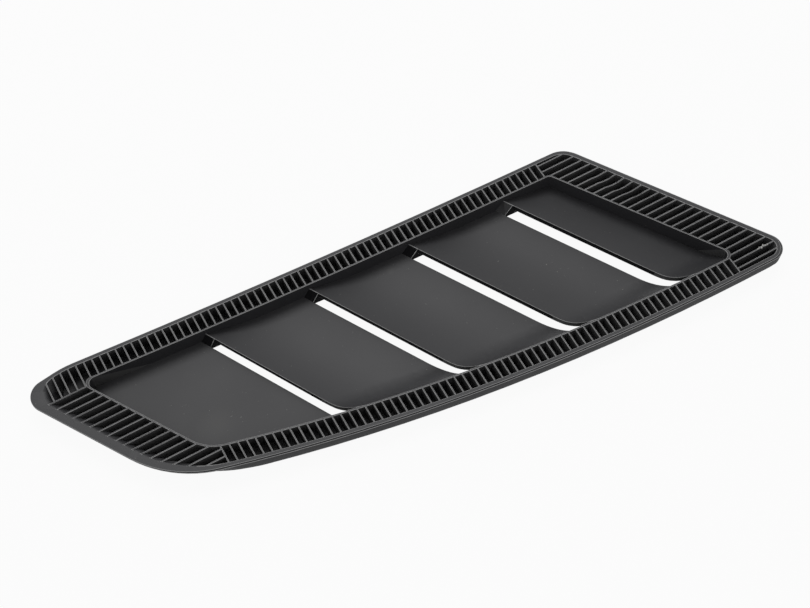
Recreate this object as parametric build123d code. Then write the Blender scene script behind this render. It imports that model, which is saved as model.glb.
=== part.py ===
from build123d import *
from math import cos, radians, sin
import os

# Plan of the pocket that holds the ribs, from its far left corner.
far_left_x = -227.0
far_left_y = 63.8
far_length = 371.0
far_lean = 2.7
left_length = 111.9
left_lean = 32.25
right_length = 154.9
right_lean = 33.2
near_bow = 14.6
near_bow_place = 0.45
far_bow = -2.4
far_bow_place = 0.5
bend_x = -199.7
bend_y = 61.6
bend_lean = 8.0

# Heights above the show face.
depth = 15.5
skin = 2.5
shoulder_drop = 1.0
left_lip_thickness = 1.8

# Widths of the rim, the border and the walls.
rim_width = 2.3
end_rim_width = 2.8
shoulder_width = 0.8
left_lip_width = 5.3
side_channel = 11.0
left_channel = 20.3
right_channel = 19.7
inner_wall = 0.9
wall_backing = 1.5
left_ramp_run = 9.0
left_edge_run = 2.2
left_edge_drop = 1.4
skirt_radius = 7.0
skirt_steps = 3

# Corner rounds.
bend_round = 60.0
far_left_round = 10.5
near_left_round = 75.0
foot_near_left_round = 105.0
near_right_round = 9.5
far_right_round = 17.0
pocket_far_left_round = 11.0
pocket_floor_near_right_round = 9.6
inner_near_left_round = 26.0
inner_round = 4.0

# Ribs.
rib_pitch = 5.0
rib_thickness = 0.8
far_ribs_end_x = 123.5
far_rib_count = 68
near_ribs_end_x = 191.4
near_rib_count = 67
left_ribs_top_y = 45.5
left_rib_count = 17
right_ribs_top_y = 44.84
right_rib_count = 26
far_left_wall_x = -172.0
far_right_y = 32.0
near_corner_y = -22.0
right_near_y = -69.0

# Shallow scoop across the tops of the right ribs.
scoop_x = 161.5
scoop_y = 7.0
scoop_length = 40.0
scoop_width = 11.0
scoop_depth = 1.6

# Louvred pan.
slot_count = 4
first_slot_x = -88.9
slot_pitch = 67.8
first_slot_angle = 29.6
slot_fan = 0.5
first_gap = 3.2
gap_growth = 0.47
louvre_rise = 7.7
louvre_run = 38.0
louvre_lip = 4.7
lip_round = 1.0
cove_radius = 22.0
cove_reach = 19.0
slot_near_land = 0.3
slot_far_land = 5.2
slot_end_lean = 0.8
bridge_foot = 3.0
lip_flare = 22.0
flare_reach = 15.0
flare_overrun = 0.5

# Working allowances for cuts.
side_overrun = 0.12
clearance = 1.0
on_line = 0.01
tall = 60.0
reach = 400.0


def direction(angle):
    return Vector(sin(radians(angle)), -cos(radians(angle)))


far_left = Vector(far_left_x, far_left_y)
far_right = far_left + Vector(cos(radians(far_lean)), -sin(radians(far_lean))) * far_length
near_left = far_left + direction(left_lean) * left_length
near_right = far_right + direction(right_lean) * right_length
far_bend = Vector(bend_x, bend_y)


def outward(start, end):
    span = end - start
    return Vector(span.Y, -span.X).normalized()


# The long sides are shallow parabolas that run past both corners and slide outwards unchanged.
def long_side(start, end, bow, place, out):
    normal = outward(start, end)
    bend = start + (end - start) * place + normal * (2 * bow)

    def at(s, t):
        return start * ((1 - s) * (1 - t)) + bend * (s + t - 2 * s * t) + end * (s * t) + normal * out

    low, high = -side_overrun, 1 + side_overrun
    return Bezier(at(low, low), at(low, high), at(high, high))


def end_line(start, end, out):
    shift = outward(start, end) * out
    extra = (end - start) * side_overrun * 3
    return start + shift - extra, end + shift + extra


def outline(far, left, near, right):
    near_side = long_side(near_left, near_right, near_bow, near_bow_place, near)
    far_side = long_side(far_right, far_left, far_bow, far_bow_place, far)
    strip = make_face([
        near_side,
        Line(near_side @ 1, far_side @ 0),
        far_side,
        Line(far_side @ 1, near_side @ 0),
    ])
    band = make_face(Polyline(
        *end_line(far_left, near_left, left),
        *end_line(near_right, far_right, right),
        close=True,
    ))
    return strip & band & bend_side(far)


def bend_side(out):
    along = Vector(cos(radians(bend_lean)), sin(radians(bend_lean)))
    across = Vector(-along.Y, along.X)
    base = far_bend + across * out
    return make_face(Polyline(
        base - along * reach,
        base + along * 2 * reach,
        base + (along * 2 - across) * reach,
        base - (along + across) * reach,
        close=True,
    ))


def plate(offsets, radii, bottom, height):
    solid = Pos(0, 0, bottom) * extrude(outline(*offsets), height)
    for corner, radius in zip((far_bend, far_left, near_left, near_right, far_right), radii):
        if radius == 0:
            continue
        target = corner + Vector(0, 0, bottom + height / 2)
        edge = solid.edges().filter_by(Axis.Z).sort_by(lambda e: (e.center() - target).length)[0]
        solid = fillet(edge, radius)
    return solid


rim_rounds = (bend_round, far_left_round, near_left_round, near_right_round, far_right_round)
inner_rounds = (0, inner_round, inner_near_left_round, inner_round, inner_round)


def arc_radius(chord, rise):
    return ((chord / 2) ** 2 + rise ** 2) / (2 * rise)


def inner_line(inward):
    return [-width - inward for width in (side_channel, left_channel, side_channel, right_channel)]


def section(offsets, rounds, height):
    return plate(offsets, rounds, height, 1).faces().sort_by(Axis.Z)[0]


def between(low, high, height):
    return low + (high - low) * height / depth


# The skirt turns under in a rounded foot on three sides and slopes under the lip on the left.
def make_shell():
    wall_side = rim_width + shoulder_width
    wall_end = end_rim_width + shoulder_width
    slope = (depth - skin) / left_ramp_run
    foot = -(depth - skin * (1 + slope ** 2) ** 0.5) / slope
    eave = depth - left_lip_thickness
    turns = [radians(90 * i / skirt_steps) for i in range(skirt_steps + 1)]
    levels = [(skirt_radius * (1 - cos(t)), skirt_radius * (1 - sin(t))) for t in turns]
    levels.append((eave, 0))
    rings = [
        section(
            (rim_width - inset, foot + height / slope, wall_side - inset, wall_end - inset),
            (
                bend_round,
                far_left_round - inset,
                between(foot_near_left_round, near_left_round, height),
                near_right_round,
                far_right_round,
            ),
            height,
        )
        for height, inset in levels
    ]
    skirt = loft(rings, ruled=True)
    ledge = plate(
        (rim_width, left_lip_width, wall_side, wall_end),
        rim_rounds, eave, left_lip_thickness - shoulder_drop,
    )
    rim = plate(
        (rim_width, left_lip_width, rim_width, end_rim_width),
        rim_rounds, depth - shoulder_drop, shoulder_drop,
    )
    return skirt + ledge + rim


def make_ring():
    easing = left_edge_run / left_edge_drop
    levels = (
        (skin, -left_ramp_run),
        (depth - left_edge_drop, -left_edge_run),
        (depth + clearance, clearance * easing),
    )
    pocket = loft([
        section(
            (0, run, 0, 0),
            (
                bend_round,
                pocket_far_left_round,
                between(foot_near_left_round, near_left_round, height),
                between(pocket_floor_near_right_round, near_right_round - end_rim_width, height),
                far_right_round - end_rim_width,
            ),
            height,
        )
        for height, run in levels
    ], ruled=True)
    return pocket - plate(inner_line(0), inner_rounds, 0, depth + 2 * clearance)


def zone(*points):
    return make_face(Polyline(*points, close=True))


def bars_along_y(end_x, count):
    bar = Rectangle(rib_thickness, reach)
    return Sketch() + [Pos(end_x - i * rib_pitch, 0) * bar for i in range(count)]


def bars_along_x(top_y, count):
    bar = Rectangle(2 * reach, rib_thickness)
    return Sketch() + [Pos(0, top_y - i * rib_pitch) * bar for i in range(count)]


def make_ribs():
    half = rib_thickness / 2
    left_end = near_ribs_end_x - (near_rib_count - 1) * rib_pitch
    far_zone = zone(
        (-reach, left_ribs_top_y - half), (far_left_wall_x, left_ribs_top_y - half),
        (far_left_wall_x, far_right_y), (far_ribs_end_x + half, far_right_y),
        (far_ribs_end_x + half, reach), (-reach, reach),
    )
    near_zone = zone(
        (left_end - half, -reach), (near_ribs_end_x + half, -reach),
        (near_ribs_end_x + half, right_near_y), (left_end - half, near_corner_y),
    )
    left_zone = zone(
        (-reach, left_ribs_top_y + half), (far_left_wall_x, left_ribs_top_y + half),
        (left_end + half, near_corner_y), (left_end + half, -reach), (-reach, -reach),
    )
    right_zone = zone(
        (far_ribs_end_x - half, far_right_y), (far_ribs_end_x - half, reach), (reach, reach),
        (reach, -reach), (near_ribs_end_x - half, -reach), (near_ribs_end_x - half, right_near_y),
    )
    ribs = [
        far_zone & bars_along_y(far_ribs_end_x, far_rib_count),
        near_zone & bars_along_y(near_ribs_end_x, near_rib_count),
        left_zone & bars_along_x(left_ribs_top_y, left_rib_count),
        right_zone & bars_along_x(right_ribs_top_y, right_rib_count),
    ]
    return extrude(Sketch() + ribs, depth + 2 * clearance) - make_scoop()


def make_scoop():
    across_radius = arc_radius(scoop_width, scoop_depth)
    along_radius = arc_radius(scoop_length, scoop_depth)
    frame = Plane(
        origin=(scoop_x, scoop_y, depth - scoop_depth + along_radius),
        z_dir=outward(near_right, far_right),
    )
    return frame * Torus(along_radius - across_radius, across_radius)


def slot_frame(index):
    angle = first_slot_angle + index * slot_fan
    across = Vector(cos(radians(angle)), sin(radians(angle)), 0)
    return Plane(
        origin=(first_slot_x + index * slot_pitch, 0, 0),
        x_dir=across,
        z_dir=direction(angle),
    )


def slot_gap(index):
    return first_gap + index * gap_growth


def swept(frame, profile):
    return extrude(frame * profile, reach, both=True)


# The room over one louvre: it falls back from the lip and turns up in a cove along the near wall.
def louvre_space(frame, base, rise, radius):
    wall = Line((0, tall), (0, base + rise))
    ramp = TangentArc((louvre_run, base), (0, base + rise), tangent=(-1, 0))
    rest = Polyline((louvre_run, base), (reach, base), (reach, tall), (0, tall))
    near_wall = long_side(
        near_left, near_right, near_bow, near_bow_place,
        radius - cove_reach - side_channel - inner_wall,
    )
    field = make_face([
        near_wall,
        Polyline(near_wall @ 1, (reach, reach), (-reach, reach), near_wall @ 0),
    ])
    space = swept(frame, make_face([wall, ramp, rest])) & extrude(field, tall)
    corners = [
        e for e in space.edges().filter_by(GeomType.LINE, reverse=True)
        if e.center().Z < depth and e.center().Y < far_right_y
    ]
    return fillet(corners, radius)


def beyond(frame):
    return swept(frame, make_face(Polyline((0, -tall), (reach, -tall), (reach, tall), (0, tall), close=True)))


def make_pan():
    well = plate(inner_line(inner_wall), inner_rounds, -clearance, depth + 2 * clearance)
    hollow = plate(inner_line(inner_wall + wall_backing), inner_rounds, -clearance, depth + 2 * clearance)
    first_floor = plate(inner_line(inner_wall), inner_rounds, skin, depth)
    cut = [first_floor - beyond(slot_frame(0))]
    lip_base = skin + louvre_rise - louvre_lip
    for index in range(slot_count):
        frame = slot_frame(index)
        top = louvre_space(frame, skin, louvre_rise, cove_radius)
        below = (hollow - louvre_space(frame, 0, lip_base, cove_radius + skin)) & beyond(frame)
        if index < slot_count - 1:
            following = beyond(slot_frame(index + 1))
            top = top - following
            below = below - following
        cut.append(top & well)
        cut.append(below)
    return cut


def slot_sides(land):
    return [-width - inner_wall - land for width in (left_channel, side_channel, right_channel)]


def slot_field():
    top_end = -side_channel - inner_wall - slot_far_land
    return loft([
        Pos(0, 0, -clearance) * outline(top_end - slot_end_lean, *slot_sides(slot_near_land)),
        Pos(0, 0, depth) * outline(top_end, *slot_sides(slot_near_land)),
    ], ruled=True)


# The lip swings away from the slot in a round where it meets the near wall.
def lip_side(frame):
    start = frame.origin - frame.z_dir * reach
    end = frame.origin + frame.z_dir * reach
    push = frame.x_dir * reach
    area = outline(-side_channel, *slot_sides(slot_near_land - flare_overrun))
    area = area & make_face(Polyline(start, end, end + push, start + push, close=True))
    side = Pos(0, 0, -clearance) * extrude(area, depth + 2 * clearance)
    edges = [e for e in side.edges().filter_by(Axis.Z) if abs(frame.to_local_coords(e.center()).X) < on_line]
    return fillet(min(edges, key=lambda e: e.center().Y), lip_flare)


def slot_opening(index, field):
    frame = slot_frame(index)
    gap = slot_gap(index)
    strip = make_face(Polyline(
        (-gap, -tall), (flare_reach, -tall), (flare_reach, tall), (-gap, tall),
        close=True,
    ))
    return (swept(frame, strip) & field) - lip_side(frame)


def bridge_profile(index):
    low = skin + louvre_rise - louvre_lip
    high = skin + louvre_rise
    return make_face(Polyline(
        (-slot_gap(index), 0), (bridge_foot, 0), (bridge_foot, low), (lip_round, low),
        (lip_round, high - lip_round), (0, high), (-slot_gap(index), skin),
        close=True,
    ))


def make_vent():
    vent = make_shell() - make_pan()
    field = slot_field()
    border = plate(inner_line(inner_wall), inner_rounds, 0, depth) - field
    for index in range(slot_count):
        vent = vent - slot_opening(index, field)
        vent = vent + (swept(slot_frame(index), bridge_profile(index)) & border)
    return vent - (make_ring() - make_ribs())


vent = make_vent()
centre = vent.bounding_box().center()
vent = Pos(-centre.X, -centre.Y, 0) * vent
os.makedirs("parts", exist_ok=True)
export_step(vent, "parts/vent.step")
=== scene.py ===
import bpy
import bmesh
from math import radians
from mathutils import Matrix, Vector, noise
from mathutils.bvhtree import BVHTree


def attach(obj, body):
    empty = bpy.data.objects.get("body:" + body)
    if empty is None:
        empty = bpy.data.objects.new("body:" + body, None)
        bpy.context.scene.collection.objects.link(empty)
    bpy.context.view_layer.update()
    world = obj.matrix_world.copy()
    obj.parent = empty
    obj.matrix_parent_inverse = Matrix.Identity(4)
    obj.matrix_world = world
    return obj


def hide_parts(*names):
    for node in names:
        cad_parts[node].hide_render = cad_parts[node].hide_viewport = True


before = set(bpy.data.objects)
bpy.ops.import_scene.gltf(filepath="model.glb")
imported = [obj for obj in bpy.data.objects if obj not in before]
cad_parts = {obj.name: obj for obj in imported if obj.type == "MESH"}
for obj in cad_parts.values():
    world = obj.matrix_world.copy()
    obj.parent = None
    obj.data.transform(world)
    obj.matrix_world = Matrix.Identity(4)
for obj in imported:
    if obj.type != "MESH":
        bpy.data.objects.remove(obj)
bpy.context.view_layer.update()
print("frame loaded")

mm = 0.001


def addNode(tree, kind, **values):
    node = tree.nodes.new(kind)
    for name, value in values.items():
        setattr(node, name, value)
    return node


def setInputs(node, values):
    for name, value in values.items():
        node.inputs[name].default_value = value
    return node


def addObject(name, data):
    thing = bpy.data.objects.new(name, data)
    bpy.context.scene.collection.objects.link(thing)
    return thing


def toMesh(shape, name):
    mesh = bpy.data.meshes.new(name)
    shape.to_mesh(mesh)
    shape.free()
    return mesh


# a shader group with named sockets: inputs are (name, kind, value), outputs (name, kind)
def newGroup(name, inputs, outputs):
    group = bpy.data.node_groups.new(name, "ShaderNodeTree")
    for label, kind, default in inputs:
        socket = group.interface.new_socket(label, in_out="INPUT", socket_type=kind)
        socket.default_value = default
    for label, kind in outputs:
        group.interface.new_socket(label, in_out="OUTPUT", socket_type=kind)
    return group, group.nodes.new("NodeGroupInput"), group.nodes.new("NodeGroupOutput")


def multiply(tree, first, second):
    node = addNode(tree, "ShaderNodeMath", operation="MULTIPLY")
    tree.links.new(first, node.inputs[0])
    tree.links.new(second, node.inputs[1])
    return node.outputs["Value"]


# the two noises of a moulded skin: input that scales it, output that it feeds, detail
grainFields = (("Grain Scale", "Height", 3.0), ("Cloud Scale", "Cloud", 5.0))
grainRoughness = 0.6


# fine pits and slow unevenness of a moulded skin
def makeGrainGroup():
    group, inlet, outlet = newGroup(
        "mouldGrain",
        [("Grain Scale", "NodeSocketFloat", 900.0), ("Cloud Scale", "NodeSocketFloat", 14.0)],
        [("Height", "NodeSocketFloat"), ("Cloud", "NodeSocketFloat")],
    )
    place = addNode(group, "ShaderNodeTexCoord")
    links = group.links
    for label, result, detail in grainFields:
        field = addNode(group, "ShaderNodeTexNoise", noise_dimensions="3D")
        setInputs(field, {"Detail": detail, "Roughness": grainRoughness})
        links.new(place.outputs["Object"], field.inputs["Vector"])
        links.new(inlet.outputs[label], field.inputs["Scale"])
        links.new(field.outputs["Fac"], outlet.inputs[result])
    return group


# a soft round patch, broken up a little, for smudges and ejector marks
def makePatchGroup():
    group, inlet, outlet = newGroup(
        "softPatch",
        [("Place", "NodeSocketVector", (0.0, 0.0, 0.0)), ("Radius", "NodeSocketFloat", 0.01),
         ("Core", "NodeSocketFloat", 0.2), ("Strength", "NodeSocketFloat", 1.0)],
        [("Mask", "NodeSocketFloat")],
    )
    links = group.links
    place = addNode(group, "ShaderNodeTexCoord")
    away = addNode(group, "ShaderNodeVectorMath", operation="DISTANCE")
    edge = addNode(group, "ShaderNodeMapRange", interpolation_type="SMOOTHSTEP")
    links.new(place.outputs["Object"], away.inputs[0])
    links.new(inlet.outputs["Place"], away.inputs[1])
    core = multiply(group, inlet.outputs["Radius"], inlet.outputs["Core"])
    links.new(away.outputs["Value"], edge.inputs["Value"])
    links.new(core, edge.inputs["From Min"])
    links.new(inlet.outputs["Radius"], edge.inputs["From Max"])
    links.new(inlet.outputs["Strength"], edge.inputs["To Min"])
    setInputs(edge, {"To Max": 0.0})
    links.new(edge.outputs["Result"], outlet.inputs["Mask"])
    return group


grainGroup = makeGrainGroup()
patchGroup = makePatchGroup()
print("shader groups made")

# black plastic as it leaves the mould
mouldingLook = {
    "name": "mouldedBlackPlastic",
    "dark": (0.022, 0.022, 0.024, 1.0),
    "light": (0.034, 0.034, 0.036, 1.0),
    "smudge": (0.085, 0.084, 0.080, 1.0),
    "dust": (0.16, 0.16, 0.15, 1.0),
    "dustScale": 620.0,
    "dustFrom": 0.70,
    "dustTo": 0.78,
    "roughLow": 0.46,
    "roughHigh": 0.58,
    "specular": 0.4,
    "grainScale": 1400.0,
    "cloudScale": 22.0,
    "grainStrength": 1.0,
    "grainDepth": 0.03 * mm,
}
# the same plastic painted pale along its sharp edges, partly wear and partly a painted highlight,
# and duller, or paler with painted light in the cells, away from the panels
edgeLook = dict(
    mouldingLook, name="rubbedEdgesAndHighlight",
    dark=(0.27, 0.27, 0.27, 1.0), light=(0.45, 0.45, 0.45, 1.0),
)
wallLook = dict(
    mouldingLook, name="dullWalls",
    dark=(0.022, 0.022, 0.024, 1.0), light=(0.036, 0.036, 0.039, 1.0),
    specular=0.15, roughLow=0.6, roughHigh=0.75,
)
# lip faces painted near black: painted shade for the shadow under each louvre's lip
lipLook = dict(
    wallLook, name="shadedLipFaces",
    dark=(0.006, 0.006, 0.007, 1.0), light=(0.012, 0.012, 0.013, 1.0),
    specular=0.06, roughLow=0.75, roughHigh=0.9,
)
skirtLook = dict(mouldingLook, name="dullSkirt", specular=0.22, roughLow=0.58, roughHigh=0.72)
# cell faces painted several times paler than the plastic: painted light for the light that reaches
# into the cells
cellLook = dict(
    wallLook, name="paintedLightCells",
    dark=(0.060, 0.060, 0.061, 1.0), light=(0.095, 0.095, 0.096, 1.0),
)

# faint marks on the panels: place, radius, core share, strength
markLook = {
    "leftPanelSmudge": ((-136.2 * mm, 1.6 * mm, 3.0 * mm), 16 * mm, 0.1, 0.35),
    "secondPanelEjector": ((-59.6 * mm, 53.0 * mm, 5.5 * mm), 4.5 * mm, 0.6, 0.30),
    "thirdPanelEjector": ((5.4 * mm, 42.1 * mm, 5.5 * mm), 4.5 * mm, 0.6, 0.30),
}


def placeGroup(tree, group, values):
    return setInputs(addNode(tree, "ShaderNodeGroup", node_tree=group), values)


# lays a colour over another one through a mask, and gives the result
def layOver(tree, below, mask, colour):
    mix = setInputs(addNode(tree, "ShaderNodeMix", data_type="RGBA"), {"B": colour})
    tree.links.new(below, mix.inputs["A"])
    tree.links.new(mask, mix.inputs["Factor"])
    return mix.outputs["Result"]


def makeMouldingMaterial(look, marks=()):
    material = bpy.data.materials.new(look["name"])
    material.use_nodes = True
    tree = material.node_tree
    tree.nodes.clear()
    links = tree.links
    out = addNode(tree, "ShaderNodeOutputMaterial")
    shader = addNode(tree, "ShaderNodeBsdfPrincipled")
    setInputs(shader, {"Specular IOR Level": look["specular"]})
    grain = placeGroup(tree, grainGroup, {
        "Grain Scale": look["grainScale"], "Cloud Scale": look["cloudScale"],
    })
    tint = addNode(tree, "ShaderNodeMix", data_type="RGBA")
    setInputs(tint, {"A": look["dark"], "B": look["light"]})
    links.new(grain.outputs["Cloud"], tint.inputs["Factor"])
    colour = tint.outputs["Result"]

    for place, radius, core, strength in marks:
        patch = placeGroup(tree, patchGroup, {
            "Place": place, "Radius": radius, "Core": core, "Strength": strength,
        })
        broken = multiply(tree, patch.outputs["Mask"], grain.outputs["Cloud"])
        colour = layOver(tree, colour, broken, look["smudge"])

    specks = placeGroup(tree, grainGroup, {
        "Grain Scale": look["dustScale"], "Cloud Scale": look["cloudScale"],
    })
    dust = addNode(tree, "ShaderNodeMapRange")
    setInputs(dust, {"From Min": look["dustFrom"], "From Max": look["dustTo"]})
    links.new(specks.outputs["Height"], dust.inputs["Value"])
    colour = layOver(tree, colour, dust.outputs["Result"], look["dust"])

    rough = addNode(tree, "ShaderNodeMapRange")
    setInputs(rough, {"To Min": look["roughLow"], "To Max": look["roughHigh"]})
    bump = addNode(tree, "ShaderNodeBump")
    setInputs(bump, {"Strength": look["grainStrength"], "Distance": look["grainDepth"]})
    links.new(grain.outputs["Cloud"], rough.inputs["Value"])
    links.new(grain.outputs["Height"], bump.inputs["Height"])
    links.new(colour, shader.inputs["Base Color"])
    links.new(rough.outputs["Result"], shader.inputs["Roughness"])
    links.new(bump.outputs["Normal"], shader.inputs["Normal"])
    links.new(shader.outputs["BSDF"], out.inputs["Surface"])
    return material


# the moulding's materials in the order of its slots
mouldingMaterials = {
    "panel": makeMouldingMaterial(mouldingLook, markLook.values()),
    "edge": makeMouldingMaterial(edgeLook),
    "wall": makeMouldingMaterial(wallLook),
    "cell": makeMouldingMaterial(cellLook),
    "lip": makeMouldingMaterial(lipLook),
    "skirt": makeMouldingMaterial(skirtLook),
}
slotOf = {name: number for number, name in enumerate(mouldingMaterials)}
print("moulding materials made")

# the moulding is the CAD solid with its sharp edges softened: angles in degrees, flat and steep as
# the upright share of a face's normal
mouldingEdges = {
    "mergeWithin": 0.01 * mm,
    "sharpAbove": 35.0,
    "wornAndHighlitAbove": 55.0,
    "width": 0.22 * mm,
    "segments": 2,
    "normalWeight": 50,
    "flat": 0.9,
    "steep": 0.5,
    "lookFrom": 0.05 * mm,
    "lookHeight": 13.5 * mm,
    "cellSpan": 27 * mm,
    "lipReach": 3 * mm,
}


# a steep face that looks at the moulding itself is a wall: of a cell if the next wall is near,
# and below a lip if it doesn't go on up to the rim; one that looks out is on the skirt
def markWalls(shape, values):
    tree = BVHTree.FromBMesh(shape)
    for face in shape.faces:
        if abs(face.normal.z) > values["flat"]:
            continue
        out = Vector((face.normal.x, face.normal.y, 0.0)).normalized()
        start = face.calc_center_median() + out * values["lookFrom"]
        if tree.ray_cast(start, out)[0] is None:
            face.material_index = slotOf["skirt"]
            continue
        if abs(face.normal.z) > values["steep"]:
            continue
        start.z = values["lookHeight"]
        reach = tree.ray_cast(start, out)[3]
        if reach is not None and reach < values["cellSpan"]:
            # faces inside the cells take the paler painted-light material
            face.material_index = slotOf["cell"]
        elif tree.ray_cast(start, -out, values["lipReach"])[0] is None:
            # faces under a lip take the near-black painted-shade material
            face.material_index = slotOf["lip"]
        else:
            face.material_index = slotOf["wall"]


# only edges that stand out are rounded, not the corners at the foot of a wall
def weighEdges(shape, values):
    weight = shape.edges.layers.float.new("bevel_weight_edge")
    for edge in shape.edges:
        if edge.is_convex and edge.calc_face_angle(0.0) > radians(values["wornAndHighlitAbove"]):
            edge[weight] = 1.0


def makeMoulding(node, values):
    shape = bmesh.new()
    shape.from_mesh(node.data)
    bmesh.ops.remove_doubles(shape, verts=shape.verts, dist=values["mergeWithin"])
    shape.normal_update()
    markWalls(shape, values)
    weighEdges(shape, values)
    mesh = toMesh(shape, "ventMoulding")
    # the normals that came with the CAD mesh don't fit the merged one
    if "custom_normal" in mesh.attributes:
        mesh.attributes.remove(mesh.attributes["custom_normal"])
    mesh.shade_smooth()
    mesh.set_sharp_from_angle(angle=radians(values["sharpAbove"]))
    dressed = addObject("ventMoulding", mesh)
    edges = dressed.modifiers.new("softEdges", "BEVEL")
    edges.limit_method = "WEIGHT"
    edges.width = values["width"]
    edges.segments = values["segments"]
    edges.use_clamp_overlap = False
    # the rounded edge faces take the pale edge material: wear and a painted highlight
    edges.material = slotOf["edge"]
    evenNormals = dressed.modifiers.new("evenNormals", "WEIGHTED_NORMAL")
    evenNormals.keep_sharp = True
    evenNormals.weight = values["normalWeight"]
    for material in mouldingMaterials.values():
        mesh.materials.append(material)
    return dressed


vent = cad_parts["vent"]
vent.data.materials.clear()
vent.data.materials.append(mouldingMaterials["panel"])
moulding = makeMoulding(vent, mouldingEdges)
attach(moulding, "root")
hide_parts("vent")
print("moulding made")

# pale crumbs of flash left on one rib near the right end, each seat as x, y, length and width in
# millimetres
crumbLook = {
    "top": 15.5 * mm,
    "seats": (
        (208.9, -63.9, 1.4, 0.9), (210.3, -63.4, 1.1, 0.9), (211.6, -64.1, 2.0, 1.1),
        (213.1, -63.5, 1.3, 1.0), (214.4, -63.9, 1.8, 1.0), (216.1, -64.2, 1.2, 0.8),
        (213.4, -63.0, 1.1, 0.7),
    ),
    "height": 0.8 * mm,
    "subdivisions": 2,
    "roughen": 0.25 * mm,
    "roughScale": 3.0,
    "seed": 1,
    "turn": 37.0,
    "pale": (0.55, 0.55, 0.53, 1.0),
    "grey": (0.25, 0.25, 0.24, 1.0),
}


def makeCrumbs(look):
    noise.seed_set(look["seed"])
    shape = bmesh.new()
    for count, (x, y, length, width) in enumerate(look["seats"]):
        seat = Matrix.Translation((x * mm, y * mm, look["top"]))
        turn = Matrix.Rotation(radians(look["turn"] * count), 4, "Z")
        size = Matrix.Diagonal((length * mm / 2, width * mm / 2, look["height"] / 2, 1.0))
        grown = bmesh.ops.create_icosphere(
            shape, subdivisions=look["subdivisions"], radius=1.0, matrix=seat @ turn @ size)
        for vert in grown["verts"]:
            vert.co += noise.noise_vector(vert.co / mm * look["roughScale"]) * look["roughen"]
    mesh = toMesh(shape, "crumbs")
    mesh.materials.append(makeMouldingMaterial(
        dict(mouldingLook, name="paleCrumbs", dark=look["grey"], light=look["pale"])))
    return addObject("crumbs", mesh)


crumbs = makeCrumbs(crumbLook)
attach(crumbs, "root")
print("crumbs made")

# a plain floor: white to the camera and in reflections, lit by the lamps for the rest
floorLook = {
    "size": 40.0,
    "colour": (0.62, 0.62, 0.62, 1.0),
    "rough": 0.9,
    "specular": 0.1,
    "whiteShare": 0.94,
}
whiteStrength = 1.0


def makeFloor(look):
    shape = bmesh.new()
    bmesh.ops.create_grid(shape, x_segments=1, y_segments=1, size=look["size"])
    mesh = toMesh(shape, "floor")
    mesh.materials.append(makeFloorMaterial(look))
    return addObject("floor", mesh)


# 1 for a ray of the camera, of a reflection or of glass, and 0 for one that lights
def seenShare(tree):
    ray = addNode(tree, "ShaderNodeLightPath")
    seen = addNode(tree, "ShaderNodeMath", operation="ADD", use_clamp=True)
    seenAll = addNode(tree, "ShaderNodeMath", operation="ADD", use_clamp=True)
    tree.links.new(ray.outputs["Is Camera Ray"], seen.inputs[0])
    tree.links.new(ray.outputs["Is Glossy Ray"], seen.inputs[1])
    tree.links.new(seen.outputs["Value"], seenAll.inputs[0])
    tree.links.new(ray.outputs["Is Transmission Ray"], seenAll.inputs[1])
    return seenAll.outputs["Value"]


def makeFloorMaterial(look):
    material = bpy.data.materials.new("paleFloor")
    material.use_nodes = True
    tree = material.node_tree
    shader = tree.nodes["Principled BSDF"]
    setInputs(shader, {
        "Base Color": look["colour"], "Roughness": look["rough"],
        "Specular IOR Level": look["specular"],
    })
    white = setInputs(addNode(tree, "ShaderNodeEmission"), {"Strength": whiteStrength})
    share = addNode(tree, "ShaderNodeMath", operation="MULTIPLY")
    share.inputs[1].default_value = look["whiteShare"]
    mix = addNode(tree, "ShaderNodeMixShader")
    links = tree.links
    links.new(seenShare(tree), share.inputs[0])
    links.new(share.outputs["Value"], mix.inputs["Fac"])
    links.new(shader.outputs["BSDF"], mix.inputs[1])
    links.new(white.outputs["Emission"], mix.inputs[2])
    links.new(mix.outputs["Shader"], tree.nodes["Material Output"].inputs["Surface"])
    return material


makeFloor(floorLook)
print("floor made")

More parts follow.
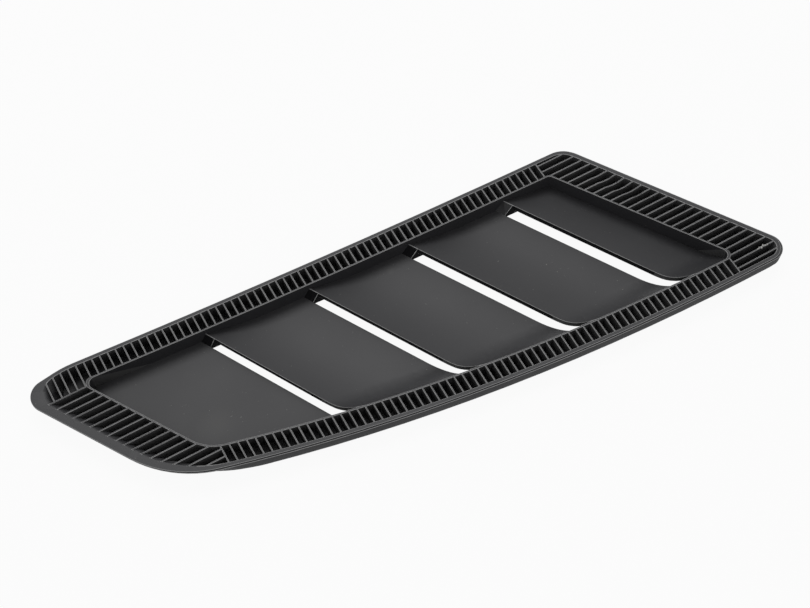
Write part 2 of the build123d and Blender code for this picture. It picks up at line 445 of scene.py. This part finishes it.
# one soft lamp overhead and an even surround, in metres and watts
lightLook = {
    "worldStrength": 0.46,
    "keyPower": 11.0,
    "keySize": (1.1, 0.7),
    "keyPlace": (0.20, 0.70, 1.5),
    "keyTarget": (0.0, 0.0, 0.0),
    "surround": (1.0, 1.0, 1.0, 1.0),
}


# rays that see the surround find it white, and the light that it gives stays at the plain level
def makeWorld(look):
    world = bpy.data.worlds.new("studio")
    bpy.context.scene.world = world
    world.use_nodes = True
    tree = world.node_tree
    tree.nodes.clear()
    out = addNode(tree, "ShaderNodeOutputWorld")
    mix = addNode(tree, "ShaderNodeMixShader")
    tree.links.new(seenShare(tree), mix.inputs["Fac"])
    for socket, strength in ((1, look["worldStrength"]), (2, whiteStrength)):
        glow = addNode(tree, "ShaderNodeBackground")
        setInputs(glow, {"Color": look["surround"], "Strength": strength})
        tree.links.new(glow.outputs["Background"], mix.inputs[socket])
    tree.links.new(mix.outputs["Shader"], out.inputs["Surface"])


def makeKey(look):
    data = bpy.data.lights.new("key", "AREA")
    data.shape = "RECTANGLE"
    data.size, data.size_y = look["keySize"]
    data.energy = look["keyPower"]
    key = addObject("key", data)
    key.location = look["keyPlace"]
    aim = Vector(look["keyTarget"]) - Vector(look["keyPlace"])
    key.rotation_euler = aim.to_track_quat("-Z", "Y").to_euler()


makeWorld(lightLook)
makeKey(lightLook)
print("light set")

# the camera stands where the photograph was taken from
cameraLook = {
    "place": (-181.718 * mm, -310.338 * mm, 730.10 * mm),
    "right": (0.87005, -0.49295, -0.00248),
    "up": (0.43908, 0.77267, 0.45846),
    "lens": 58.485,
    "sensor": 36.0,
    "clipStart": 0.01,
}


def makeCamera(look):
    data = bpy.data.cameras.new("camera")
    data.lens = look["lens"]
    data.sensor_width = look["sensor"]
    data.sensor_fit = "HORIZONTAL"
    data.clip_start = look["clipStart"]
    camera = addObject("camera", data)
    right, up = Vector(look["right"]), Vector(look["up"])
    turn = Matrix((right, up, right.cross(up))).transposed().to_4x4()
    camera.matrix_world = Matrix.Translation(look["place"]) @ turn
    bpy.context.scene.camera = camera


makeCamera(cameraLook)
bpy.context.scene.view_settings.view_transform = "Standard"
print("camera set")
